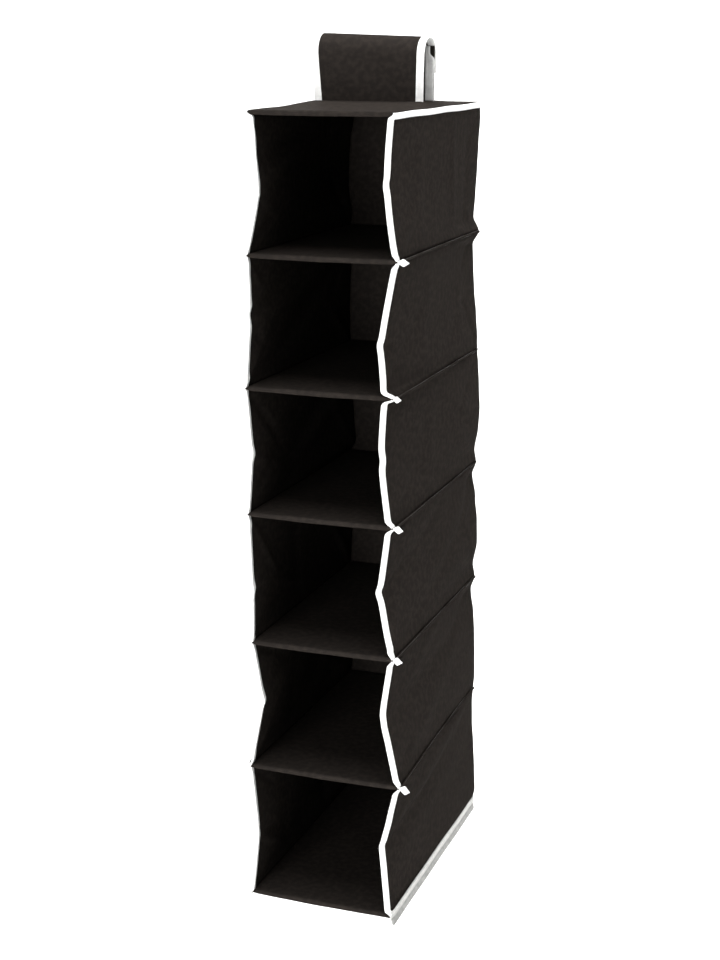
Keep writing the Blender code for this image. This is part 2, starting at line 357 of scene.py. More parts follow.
def unit(vectors):
    return vectors / np.maximum(np.linalg.norm(vectors, axis=-1, keepdims=True), 1e-12)


# ---------------------------------------------------------------- materials


def linear(text):
    """An sRGB hex colour as linear numbers."""
    found = []
    for n in (1, 3, 5):
        c = int(text[n : n + 2], 16) / 255
        found.append(c / 12.92 if c <= 0.04045 else ((c + 0.055) / 1.055) ** 2.4)
    return (*found, 1.0)


def add_node(tree, kind, settings=None, links=None, **values):
    """Adds a node: settings are its properties, values its inputs' values by name, links its inputs' sources."""
    made = tree.nodes.new(kind)
    for key, value in (settings or {}).items():
        setattr(made, key, value)
    for key, value in values.items():
        made.inputs[key.replace("_", " ")].default_value = value
    for key, source in (links or {}).items():
        socket = made.inputs[key]
        tree.links.new(source, socket)
    return made


def new_material(name, roughness, specular=0.5):
    """A material with an empty principled shader, its tree and the shader."""
    made = bpy.data.materials.new(name)
    made.use_nodes = True
    tree = made.node_tree
    tree.nodes.clear()
    shader = add_node(tree, "ShaderNodeBsdfPrincipled", Roughness=roughness)
    shader.inputs["Specular IOR Level"].default_value = specular
    add_node(tree, "ShaderNodeOutputMaterial", links={"Surface": shader.outputs["BSDF"]})
    return made, tree, shader


def mix_colours(tree, factor, dark, light):
    made = add_node(tree, "ShaderNodeMix", {"data_type": "RGBA"}, {0: factor})
    made.inputs[6].default_value = linear(dark)
    made.inputs[7].default_value = linear(light)
    return made.outputs[2]


def ramp(tree, source, low, high, to_low=0.0, to_high=1.0):
    made = add_node(tree, "ShaderNodeMapRange", {"interpolation_type": "SMOOTHSTEP"}, {"Value": source})
    for key, value in (("From Min", low), ("From Max", high), ("To Min", to_low), ("To Max", to_high)):
        made.inputs[key].default_value = value
    return made.outputs["Result"]


def bump(tree, height, distance, normal=None, strength=1.0):
    links = {"Height": height}
    if normal:
        links["Normal"] = normal
    made = add_node(tree, "ShaderNodeBump", None, links, Strength=strength, Distance=distance)
    return made.outputs["Normal"]


def cloth_uv(tree):
    return add_node(tree, "ShaderNodeUVMap", {"uv_map": CLOTH_UV}).outputs["UV"]


def object_place(tree):
    return add_node(tree, "ShaderNodeTexCoord").outputs["Object"]


def noise(tree, place, scale, detail=2.0, settings=None):
    """A noise's value, at a place on the piece."""
    return add_node(tree, "ShaderNodeTexNoise", settings, {"Vector": place}, Scale=scale, Detail=detail).outputs[0]


FLAT_NOISE = {"noise_dimensions": "2D"}


def surface(tree, shader, tone, colours, grain, roughness, height):
    """Colours a shader by tone, and gives it the roughness and the relief of a grain."""
    tree.links.new(mix_colours(tree, tone, *colours), shader.inputs["Base Color"])
    tree.links.new(ramp(tree, grain, 0.3, 0.7, *roughness), shader.inputs["Roughness"])
    tree.links.new(bump(tree, grain, height), shader.inputs["Normal"])


def nonwoven_cloth(name, dark, light, bond_pitch):
    """Spunbond polypropylene: dead matt black felted fibres, pressed together at rows of small points, with
    cloudy thick and thin places. Its shine is kept near nothing, so that its sides stay as dark as its front."""
    made, tree, shader = new_material(name, 0.62, 0.001)
    uv = cloth_uv(tree)
    turned = add_node(tree, "ShaderNodeMapping", None, {"Vector": uv})
    turned.inputs["Rotation"].default_value = (0, 0, math.radians(45))
    turned.inputs["Scale"].default_value = (1 / bond_pitch,) * 3
    bonds = add_node(
        tree, "ShaderNodeTexVoronoi", {"voronoi_dimensions": "2D"}, {"Vector": turned.outputs[0]}, Scale=1.0
    )
    bonds.inputs["Randomness"].default_value = 0.12
    raised = ramp(tree, bonds.outputs["Distance"], 0.16, 0.34)
    fibres = noise(tree, uv, 900.0, 5.0, FLAT_NOISE)
    clouds = ramp(tree, noise(tree, uv, 150.0, 4.0, FLAT_NOISE), 0.35, 0.7)
    blend = add_node(tree, "ShaderNodeMath", {"operation": "MULTIPLY"}, {0: clouds, 1: raised})
    tree.links.new(mix_colours(tree, blend.outputs[0], dark, light), shader.inputs["Base Color"])
    tree.links.new(ramp(tree, raised, 0, 1, 0.46, 0.64), shader.inputs["Roughness"])
    felt = bump(tree, fibres, 0.05 * MM)
    tree.links.new(bump(tree, raised, 0.10 * MM, felt), shader.inputs["Normal"])
    shader.inputs["Sheen Weight"].default_value = 0.002
    shader.inputs["Sheen Roughness"].default_value = 0.4
    shader.inputs["Sheen Tint"].default_value = linear("#b8a894")
    return made


def binding_tape(name, shade, light, rib_pitch):
    """Woven polyester binding tape: bright white, matt, with fine ribs across it, a little grey in random patches.
    """
    made, tree, shader = new_material(name, 0.72, 0.35)
    uv = cloth_uv(tree)
    ribs = add_node(tree, "ShaderNodeTexWave", {"wave_type": "BANDS", "bands_direction": "Y"}, {"Vector": uv})
    ribs.inputs["Scale"].default_value = math.pi / 10 / rib_pitch
    ribs.inputs["Distortion"].default_value = 0.6
    tone = ramp(tree, noise(tree, uv, 140.0, 4.0, FLAT_NOISE), 0.25, 0.7)
    tree.links.new(mix_colours(tree, tone, shade, light), shader.inputs["Base Color"])
    tree.links.new(bump(tree, ribs.outputs["Color"], 0.12 * MM), shader.inputs["Normal"])
    tree.links.new(ramp(tree, tone, 0, 1, 0.82, 0.66), shader.inputs["Roughness"])
    shader.inputs["Sheen Weight"].default_value = 0.15
    return made


def sewing_thread(name, dark, light):
    """Spun polyester sewing thread: two plies with a slight lustre, lighter on their crowns."""
    made, tree, shader = new_material(name, 0.45, 0.5)
    twist = noise(tree, object_place(tree), 1800.0)
    surface(tree, shader, twist, (dark, light), twist, (0.38, 0.55), 0.04 * MM)
    return made


def grey_board(name, dark, light):
    """Recycled greyboard: pressed paper pulp, dull grey-brown with darker and lighter flecks."""
    made, tree, shader = new_material(name, 0.9, 0.3)
    place = object_place(tree)
    pulp = noise(tree, place, 260.0, 6.0)
    flecks = add_node(tree, "ShaderNodeTexVoronoi", None, {"Vector": place}, Scale=420.0).outputs["Distance"]
    links = {0: pulp, 1: ramp(tree, flecks, 0.05, 0.4, 0.5, 1.3)}
    tone = add_node(tree, "ShaderNodeMath", {"operation": "MULTIPLY"}, links).outputs[0]
    surface(tree, shader, tone, (dark, light), pulp, (0.82, 0.95), 0.1 * MM)
    return made


def nylon_tape(name, dark, light):
    """Black nylon hook-and-loop tape: a tight woven ground with a faint plastic shine."""
    made, tree, shader = new_material(name, 0.6, 0.5)
    weave = noise(tree, object_place(tree), 1400.0, 3.0)
    surface(tree, shader, weave, (dark, light), weave, (0.5, 0.75), 0.08 * MM)
    return made


def studio_paper(name, tone, shade):
    """Seamless background paper: matt and nearly white, with the faintest unevenness."""
    made, tree, shader = new_material(name, 0.95, 0.2)
    grain = noise(tree, object_place(tree), 3.0)
    tree.links.new(mix_colours(tree, grain, shade, tone), shader.inputs["Base Color"])
    return made


def finish_of(kind):
    """One of the organiser's materials, made the first time that it is asked for."""
    looks = bpy.context.scene.organiser_looks
    ribs = looks.rib_pitch
    tape_name = "woven polyester binding tape"
    name, maker, *values = {
        "cloth": ("spunbond polypropylene cloth, black", nonwoven_cloth, looks.cloth_dark, looks.cloth_light,
                  looks.bond_pitch),
        "binding": (f"{tape_name}, white", binding_tape, looks.binding_shade, looks.binding_light, ribs),
        # The bottom's tapes are painted greyer as painted shade, the lower one most
        "lower_binding_painted_shade": (f"{tape_name}, a little greyed for painted shade", binding_tape, "#b0b0ad", "#c2c2bf", ribs),
        "under_binding_painted_shade": (f"{tape_name}, greyed for painted shade", binding_tape, "#82827f", "#969693", ribs),
        "white_thread": ("spun polyester thread, white", sewing_thread, "#d8d8d4", "#ffffff"),
        "black_thread": ("spun polyester thread, black", sewing_thread, "#171615", "#34312e"),
        "board": ("greyboard", grey_board, "#6e675d", "#a39b8e"),
        "nylon": ("nylon hook-and-loop tape, black", nylon_tape, "#121212", "#232222"),
        "paper": ("studio background paper", studio_paper, "#fafaf9", "#f7f7f6"),
    }[kind]
    return bpy.data.materials.get(name) or maker(name, *values)


# ---------------------------------------------------------------- Geometry Nodes


def new_tree(name, inputs):
    """A Geometry Nodes tree with named inputs, and its group input and output nodes."""
    tree = bpy.data.node_groups.new(name, "GeometryNodeTree")
    tree.interface.new_socket("Geometry", in_out="INPUT", socket_type="NodeSocketGeometry")
    for label, kind, default in inputs:
        socket = tree.interface.new_socket(label, in_out="INPUT", socket_type=f"NodeSocket{kind}")
        if default is not None:
            socket.default_value = default
    tree.interface.new_socket("Geometry", in_out="OUTPUT", socket_type="NodeSocketGeometry")
    return tree, add_node(tree, "NodeGroupInput"), add_node(tree, "NodeGroupOutput")


def close_tree(tree, start, end, geometry):
    """Ends a tree: plain geometry, smooth and with its material."""
    real = add_node(tree, "GeometryNodeRealizeInstances", None, {"Geometry": geometry})
    smooth = add_node(tree, "GeometryNodeSetShadeSmooth", None, {"Geometry": real.outputs[0]})
    links = {"Geometry": smooth.outputs[0], "Material": start.outputs["Material"]}
    painted = add_node(tree, "GeometryNodeSetMaterial", None, links)
    tree.links.new(painted.outputs[0], end.inputs[0])


def times(tree, source, factor):
    made = add_node(tree, "ShaderNodeMath", {"operation": "MULTIPLY"}, {0: source})
    made.inputs[1].default_value = factor
    return made.outputs[0]


def stitch_tree():
    """Stitches along lines: small rounded threads, each a little off true."""
    found = bpy.data.node_groups.get("sewn line")
    if found:
        return found
    inputs = [("Pitch", "Float", 3 * MM), ("Length", "Float", 2.3 * MM), ("Thickness", "Float", 0.6 * MM)]
    tree, start, end = new_tree("sewn line", [*inputs, ("Seed", "Int", 1), ("Material", "Material", None)])
    line = add_node(tree, "GeometryNodeMeshToCurve", None, {"Mesh": start.outputs["Geometry"]})
    links = {"Curve": line.outputs[0], "Length": start.outputs["Pitch"]}
    dots = add_node(tree, "GeometryNodeResampleCurve", {"mode": "LENGTH"}, links)
    tangent = add_node(tree, "GeometryNodeInputTangent")
    wobble = add_node(tree, "FunctionNodeRandomValue", {"data_type": "FLOAT_VECTOR"})
    wobble.inputs["Min"].default_value = (-0.06, -0.06, -0.06)
    wobble.inputs["Max"].default_value = (0.06, 0.06, 0.06)
    tree.links.new(start.outputs["Seed"], wobble.inputs["Seed"])
    links = {0: tangent.outputs[0], 1: wobble.outputs[0]}
    way = add_node(tree, "ShaderNodeVectorMath", {"operation": "ADD"}, links)
    turn = add_node(tree, "FunctionNodeAlignRotationToVector", {"axis": "X"}, {"Vector": way.outputs[0]})
    bead = add_node(tree, "GeometryNodeMeshUVSphere", None, None, Segments=6, Rings=4, Radius=0.5)
    size = add_node(tree, "ShaderNodeCombineXYZ", None, {"X": start.outputs["Length"]})
    for axis in ("Y", "Z"):
        tree.links.new(start.outputs["Thickness"], size.inputs[axis])
    links = {"Points": dots.outputs[0], "Instance": bead.outputs["Mesh"], "Rotation": turn.outputs[0]}
    links["Scale"] = size.outputs[0]
    placed = add_node(tree, "GeometryNodeInstanceOnPoints", None, links)
    close_tree(tree, start, end, placed.outputs[0])
    return tree


def pile_tree():
    """Hooks or loops on a fastener tape: bent filaments on a grid of points, each turned at random."""
    found = bpy.data.node_groups.get("fastener pile")
    if found:
        return found
    inputs = [
        ("Width", "Float", 0.1), ("Height", "Float", 0.018), ("Pitch", "Float", 1.5 * MM),
        ("Rise", "Float", 0.6 * MM), ("Span", "Float", 0.5 * MM), ("Filament", "Float", 0.16 * MM),
        ("Disorder", "Float", 0.3), ("Seed", "Int", 3), ("Material", "Material", None),
    ]
    tree, start, end = new_tree("fastener pile", inputs)
    counts = {}
    for side in ("Width", "Height"):
        links = {0: start.outputs[side], 1: start.outputs["Pitch"]}
        counts[side] = add_node(tree, "ShaderNodeMath", {"operation": "DIVIDE"}, links).outputs[0]
    links = {"Size X": start.outputs["Width"], "Size Y": start.outputs["Height"]}
    links.update({"Vertices X": counts["Width"], "Vertices Y": counts["Height"]})
    ground = add_node(tree, "GeometryNodeMeshGrid", None, links)
    bend = add_node(tree, "GeometryNodeCurveQuadraticBezier", None, None, Resolution=5)
    for label, x_share, z_share in (("Start", -0.5, 0), ("Middle", 0, 2), ("End", 0.5, 0.45)):
        x, z = times(tree, start.outputs["Span"], x_share), times(tree, start.outputs["Rise"], z_share)
        point = add_node(tree, "ShaderNodeCombineXYZ", None, {"X": x, "Z": z})
        tree.links.new(point.outputs[0], bend.inputs[label])
    round_wire = add_node(tree, "GeometryNodeCurvePrimitiveCircle", {"mode": "RADIUS"}, None, Resolution=4)
    tree.links.new(times(tree, start.outputs["Filament"], 0.5), round_wire.inputs["Radius"])
    links = {"Curve": bend.outputs[0], "Profile Curve": round_wire.outputs[0]}
    wire = add_node(tree, "GeometryNodeCurveToMesh", None, links)
    wire.inputs["Fill Caps"].default_value = True
    spin = add_node(tree, "FunctionNodeRandomValue", {"data_type": "FLOAT_VECTOR"})
    tree.links.new(start.outputs["Seed"], spin.inputs["Seed"])
    spin.inputs["Min"].default_value = (-0.3, -0.3, -math.pi)
    spin.inputs["Max"].default_value = (0.3, 0.3, math.pi)
    swing = add_node(tree, "ShaderNodeVectorMath", {"operation": "SCALE"}, {0: spin.outputs[0]})
    tree.links.new(start.outputs["Disorder"], swing.inputs["Scale"])
    links = {"Points": ground.outputs[0], "Instance": wire.outputs[0], "Rotation": swing.outputs[0]}
    placed = add_node(tree, "GeometryNodeInstanceOnPoints", None, links)
    close_tree(tree, start, end, placed.outputs[0])
    return tree


def grow(name, mesh, tree, values):
    """A plain mesh piece from a tree: values are the tree's inputs by name."""
    made = add_object(name, mesh)
    step = made.modifiers.new("grow", "NODES")
    step.node_group = tree
    for item in tree.interface.items_tree:
        if item.item_type == "SOCKET" and item.in_out == "INPUT" and item.name in values:
            step[item.identifier] = values[item.name]
    return settle(made)


def sew(name, lines, thread, seed=1):
    """One piece with the stitches of several lines, each a list of points."""
    looks = bpy.context.scene.organiser_looks
    points, edges = [], []
    for line in lines:
        first = len(points)
        points += [tuple(p) for p in line]
        edges += [(first + n, first + n + 1) for n in range(len(line) - 1)]
    mesh = bpy.data.meshes.new(name)
    mesh.from_pydata(points, edges, [])
    values = {
        "Pitch": looks.stitch_pitch, "Length": looks.stitch_pitch * 0.76, "Thickness": looks.thread_thickness,
        "Seed": seed, "Material": finish_of(thread),
    }
    return grow(name, mesh, stitch_tree(), values)


# ---------------------------------------------------------------- riding on the frame


def attach(made, body, slot, *nodes):
    """Fixes a piece to a body and hides the nodes that it stands for. Its slot is not used."""
    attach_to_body(made, body)
    if nodes:
        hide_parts(*nodes)
    return made


def ride_fold(made, number):
    """Hangs a piece, with a mesh of its own, from the shelf above a compartment."""
    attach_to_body(made, PLACES[number - 1])
    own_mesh(made)
    return made


def ride_strap(made):
    """Works the place of a piece of the hanger into its mesh."""
    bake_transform(made)
    return made


# ---------------------------------------------------------------- settings


def length(name, millimetres, description):
    """A setting that is a length."""
    return FloatProperty(name=name, description=description, default=millimetres * MM, unit="LENGTH")


def hex_colour(name, value, description):
    """A setting that is an sRGB colour."""
    return StringProperty(name=name, description=description, default=value)


class OrganiserLooks(bpy.types.PropertyGroup):
    cloth_thickness: length("Cloth thickness", 0.8, "Thickness of the nonwoven cloth")
    # The next two are drawn coarser than the real 1 mm and 0.6 mm, so that they show
    bond_pitch: length("Bond pitch", 1.7, "Distance between the pressed points of the cloth")
    rib_pitch: length("Rib pitch", 1.1, "Distance between the tape's ribs")
    tape_width: length("Tape width", 7.2, "Width of a bound edge")
    tape_thickness: length("Tape thickness", 2.2, "Thickness of a bound edge")
    stitch_pitch: length("Stitch pitch", 3.2, "Distance from stitch to stitch")
    thread_thickness: length("Thread thickness", 0.6, "Thickness of the sewing thread")
    under_tape_drop: length("Under tape", 8.5, "How far the bottom's tape hangs below it")
    nub_length: length("Nub length", 13.0, "Length of the doubled tape at the end of each pinched seam")
    nub_height: length("Nub height", 8.6, "Height of the doubled tape")
    tent_height: length("Tent height", 5.0, "How far the hanger pulls the top cover up")
    loop_droop: length("Loop droop", 4.5, "How much lower the empty loop sits at its right end")
    cloth_dark: hex_colour("Cloth, dark", "#221f1d", "Darkest cloth colour, sRGB")
    cloth_light: hex_colour("Cloth, light", "#2a2623", "Lightest cloth colour, sRGB")
    binding_shade: hex_colour("Tape, shade", "#e4e4e2", "Tape colour in its dips, sRGB")
    binding_light: hex_colour("Tape, light", "#f6f6f4", "Tape colour on its ribs, sRGB")


class OrganiserStudio(bpy.types.PropertyGroup):
    camera_place: FloatVectorProperty(
        name="Camera place", description="Where the camera stands", default=(0.6314, -1.7681, -0.0058), unit="LENGTH"
    )
    camera_yaw: FloatProperty(
        name="Camera yaw", description="Turn to the left", default=math.radians(20.1), subtype="ANGLE"
    )
    camera_pitch: FloatProperty(
        name="Camera pitch", description="Tilt downwards", default=math.radians(9.91), subtype="ANGLE"
    )
    focal_length: FloatProperty(
        name="Focal length", description="Lens, in millimetres for a 36 mm sensor", default=63.75
    )
    camera_shift: FloatProperty(
        name="Camera shift", description="Vertical shift that fits the organiser in the frame", default=-0.15
    )
    floor_gap: FloatProperty(
        name="Floor gap", description="Height of the organiser over the floor", default=0.35, unit="LENGTH"
    )
    key_power: IntProperty(name="Key power", description="Power of the main light, in watts", default=74)


# ---------------------------------------------------------------- panels with boards


def fin_width(y, phase):
    """How far a pinched seam stands out, from its nub at the front to the back."""
    share = np.clip((y - FRONT_Y) / DEPTH, 0, 1)
    full = FIN_FRONT + (FIN_BACK - FIN_FRONT) * share**0.8 + 0.5 * MM * np.sin(y * 58 + phase)
    return full * (0.45 + 0.55 * smoothstep(2 * MM, 12 * MM, y - FRONT_Y))


def seam_out(word, level, y):
    """How far the panels stand out from a shelf's or the bottom's edge where they are sewn to it."""
    share = np.clip((y - FRONT_Y) / DEPTH, 0, 1)
    back = BACK_LINE[-1][-1] if word == "right" and level == len(SEAM_Z) - 1 else 0
    return MM * (max(ROOT_OUT[word][level], 0) * (1 - share) ** 2 + back * smoothstep(0.35, 1, share))


def shell_rows(place, pinched, sag, tent):
    """The points of a cloth sleeve round a board: a flat loop for each x, pinched thin past the board's sides."""
    looks = bpy.context.scene.organiser_looks
    number = PLACES.index(place)
    level = SEAM_Z[number]
    inner = np.linspace(-(HALF_WIDTH - 4 * MM), HALF_WIDTH - 4 * MM, 45)
    outer = HALF_WIDTH + np.array([-2.6, -1.3, -0.6, 0.2]) * MM
    if pinched:
        outer = np.concatenate([outer, HALF_WIDTH + np.array([0.3, 0.6, 1.0]) * FIN_FRONT])
    across = np.concatenate([-outer[::-1], inner, outer])
    random = rng(place)
    phase = random.uniform(0, 2 * math.pi, 4)
    rows = []
    for x in across:
        out = abs(x) - HALF_WIDTH
        thin = smoothstep(-2.0 * MM, 0.4 * MM, out)
        h = HALF_PANEL + (ROOT_HALF - HALF_PANEL) * thin
        front = FRONT_Y + (1.5 * MM if out > 0.5 * MM else 0)
        back = BACK_Y - 0.4 * MM
        turn = np.linspace(0, math.pi, 9)
        top_y = np.linspace(back - h, front + h, 60)
        nose = np.stack([front + h - h * np.sin(turn), h * np.cos(turn)], axis=1)
        tail = np.stack([back - h + h * np.sin(turn[::-1]), h * np.cos(turn[::-1])], axis=1)
        top = np.stack([top_y[1:-1], np.full(58, h)], axis=1)
        low = np.stack([top_y[::-1][1:-1], np.full(58, -h)], axis=1)
        loop = np.concatenate([top, nose, low, tail])
        y, z = loop[:, 0], loop[:, 1]
        ripple = np.sin(x * 61 + phase[0]) * np.sin(y * 47 + phase[1]) + 0.5 * np.sin(x * 130 + y * 90 + phase[2])
        z = z + np.where(z > 0, 1, -1) * 0.14 * MM * ripple * (1 - thin)
        droop = sag * (1 - (x / HALF_WIDTH) ** 2) * smoothstep(0.2, 1.0, 1 - (y - FRONT_Y) / DEPTH)
        z = z - droop * (z < 0)
        word, side = ("right", 1) if x > 0 else ("left", -1)
        if out > 0.25 * MM:
            z = z + 0.7 * MM * np.sin(y * 70 + phase[3] + side) * out / FIN_FRONT
            x = side * (HALF_WIDTH + out / FIN_FRONT * fin_width(y, phase[3]))
        turned = curl(word, y) * SEWN_CURL - seam_out(word, number, y)
        x = x - side * turned * smoothstep(-1.6 * MM, 0, out)
        if tent:
            lift = tent_rise(x, y) * (loop[:, 1] > 0)
            z = z + looks.tent_height * lift
        rows.append(np.stack([np.broadcast_to(x, y.shape), y, z + level], axis=1))
    return np.array(rows)


def tent_rise(x, y):
    """How far the top cover is drawn up towards the hanger's base, as a share."""
    past_x = np.maximum(np.abs(x) - LOOP_HALF * 0.94, 0) / (HALF_WIDTH - LOOP_HALF * 0.94)
    front = np.maximum(STRAP_LOW.y - y, 0) / (STRAP_LOW.y - FRONT_Y)
    behind = np.maximum(y - STUB_HIGH.y, 0) / (BACK_Y - STUB_HIGH.y)
    along = 1 - smoothstep(0, 1.0, np.maximum(front, behind) ** 0.8)
    return along * (1 - smoothstep(0, 1.0, past_x))


def make_sleeve(name, place, node, sag, tent=False):
    """The cloth round one board."""
    looks = bpy.context.scene.organiser_looks
    pinched = place in SHELVES
    rows = shell_rows(place, pinched, sag, tent)
    made = grid_object(name, rows, finish_of("cloth"), wrap=True, cap=True)
    thicken(made, looks.cloth_thickness, -1)
    attach(made, place, "nonwoven", node)


class ORGANISER_OT_shelves(bpy.types.Operator):
    """Makes the cloth sleeves round the five shelves and the bottom, with their pinched side seams"""

    bl_idname = "organiser.shelves"
    bl_label = "Shelves and bottom"

    def execute(self, context):
        for place in PLACES[1:]:
            make_sleeve(f"{place}_cloth_sleeve", place, f"{place}_sleeve", SHELF_SAG)
        return {"FINISHED"}


class ORGANISER_OT_top_cover(bpy.types.Operator):
    """Makes the top cover, drawn up into a low tent under the hanger"""

    bl_idname = "organiser.top_cover"
    bl_label = "Top cover"

    def execute(self, context):
        make_sleeve("top_cloth_cover", "top", "top_cover", TOP_SAG, tent=True)
        return {"FINISHED"}


def paint_node(node, finish):
    """Gives a node of the CAD that stays in view its finish."""
    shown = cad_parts[node]
    shown.data.materials.clear()
    shown.data.materials.append(finish)


class ORGANISER_OT_boards(bpy.types.Operator):
    """Gives the hidden boards their finish"""

    bl_idname = "organiser.boards"
    bl_label = "Boards"

    def execute(self, context):
        for place in PLACES:
            paint_node(f"{place}_board", finish_of("board"))
        return {"FINISHED"}


# ---------------------------------------------------------------- cloth panels


def panel_grid(number):
    """The heights and depths at which a side panel has points, closer together near its front edge."""
    high, low = panel_ends(number)
    rows = round((high - low) / WALL_STEP_Z)
    z = np.linspace(high, low, rows + 1)
    y = np.linspace(FRONT_Y + CURL_DEPTH, BACK_Y, round((DEPTH - CURL_DEPTH) / WALL_STEP_Y))
    near = np.linspace(FRONT_Y + 1.0 * MM, FRONT_Y + CURL_DEPTH, 8)[:-1]
    return z, np.concatenate([near, y])


class ORGANISER_OT_side_panels(bpy.types.Operator):
    """Makes the left and right side panels of every compartment, creased at half height"""

    bl_idname = "organiser.side_panels"
    bl_label = "Side panels"

    def execute(self, context):
        looks = context.scene.organiser_looks
        for word, side in SIDES.items():
            for number in COMPARTMENTS:
                z, y = panel_grid(number)
                zz, yy = np.meshgrid(z, y, indexing="ij")
                points = np.stack([side_surface(word, number, yy, zz), yy, zz], axis=2)
                made = grid_object(f"{word}_panel_{number}", points, finish_of("cloth"))
                facing(made, (side, 0, 0))
                thicken(made, looks.cloth_thickness)
                ride_fold(made, number)
                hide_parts(f"{word}_wall_{number}")
        return {"FINISHED"}


class ORGANISER_OT_back_panels(bpy.types.Operator):
    """Makes the back panel of every compartment"""

    bl_idname = "organiser.back_panels"
    bl_label = "Back panels"

    def execute(self, context):
        looks = context.scene.organiser_looks
        for number in COMPARTMENTS:
            z, _ = panel_grid(number)
            high, low = panel_ends(number)
            left = side_surface("left", number, np.full(len(z), BACK_Y), z)
            right = side_surface("right", number, np.full(len(z), BACK_Y), z)
            share = np.linspace(0, 1, round(2 * HALF_WIDTH / WALL_STEP_Y))[None, :]
            x = left[:, None] + (right - left)[:, None] * share
            zz = np.repeat(z[:, None], share.shape[1], axis=1)
            v = (high - zz) / (high - low)
            ends = smoothstep(0, 0.12, v) * smoothstep(0, 0.12, 1 - v)
            inside = np.sin(np.pi * share)
            random = rng("back", number)
            y = BACK_Y + 0.5 * MM * (1 - ends) * inside - 2.5 * MM * np.sin(np.pi * v) * inside
            for _ in range(7):
                a, b = random.uniform(-1, 1, 2) * HALF_WIDTH, random.uniform(0, 1, 2)
                start, end = (a[0], high - b[0] * (high - low)), (a[1], high - b[1] * (high - low))
                width, height = random.uniform(6, 12) * MM, random.uniform(-1.4, 1.4) * MM
                y = y + ends * inside * fold(x, zz, start, end, width, height)
            made = grid_object(f"back_panel_{number}", np.stack([x, y, zz], axis=2), finish_of("cloth"))
            facing(made, (0, 1, 0))
            thicken(made, looks.cloth_thickness)
            ride_fold(made, number)
            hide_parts(f"back_wall_{number}")
        return {"FINISHED"}


# ---------------------------------------------------------------- bindings


def front_tape_line(word, number):
    """The middle line of a front binding with its width and outward directions, row by row."""
    high, low = panel_ends(number)
    z = np.linspace(high, low, round((high - low) / WALL_STEP_Z) * 2 + 1)
    step = 0.4 * MM
    y = np.full(len(z), FRONT_Y + TAPE_CENTRE)
    centre = np.stack([side_surface(word, number, y, z), y, z], axis=1)
    behind = np.stack([side_surface(word, number, y + step, z), y + step, z], axis=1)
    width_way = unit(behind - centre)
    along = unit(np.gradient(centre, axis=0))
    normal = unit(np.cross(along, width_way)) * SIDES[word]
    return centre, width_way, normal


class ORGANISER_OT_front_bindings(bpy.types.Operator):
    """Makes the white tape down the front edges, with its stitches"""

    bl_idname = "organiser.front_bindings"
    bl_label = "Front bindings"

    def execute(self, context):
        looks = context.scene.organiser_looks
        for number in COMPARTMENTS:
            lines = []
            for word in SIDES:
                line, finish = front_tape_line(word, number), finish_of("binding")
                sizes = (looks.tape_width, looks.tape_thickness)
                made, sewn_lines = tape(f"front_tape_{word}_{number}", line, *sizes, finish)
                ride_fold(made, number)
                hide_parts(f"front_binding_{word}_{number}")
                lines += sewn_lines
            sewn = sew(f"front_tape_stitches_{number}", lines, "white_thread", number)
            ride_fold(sewn, number)
        return {"FINISHED"}


def edge_tape_line(word, number, low_z, high_z, tuck):
    """The middle line of the tape along a side edge of the top or bottom, with its width and outward directions.
    tuck draws its lower edge in under the panel."""
    y = np.concatenate([np.linspace(FRONT_Y - 0.2 * MM, FRONT_Y + CURL_DEPTH, 12)[:-1],
                        np.linspace(FRONT_Y + CURL_DEPTH, BACK_Y, 60)])
    sewn = np.maximum(y, FRONT_Y)
    middle = (low_z + high_z) / 2
    x = side_surface(word, number, sewn, np.full(len(y), middle)) + SIDES[word] * EDGE_OUT
    z = middle + 0.25 * MM * np.sin(y * 55 + SIDES[word])
    centre = np.stack([x, y, z], axis=1)
    along = unit(np.gradient(centre, axis=0))
    lean = np.full(len(y), SIDES[word] * tuck)
    width_way = unit(np.stack([lean, np.zeros(len(y)), np.full(len(y), high_z - low_z)], axis=1))
    normal = unit(np.cross(along, width_way)) * SIDES[word]
    return centre, width_way, normal


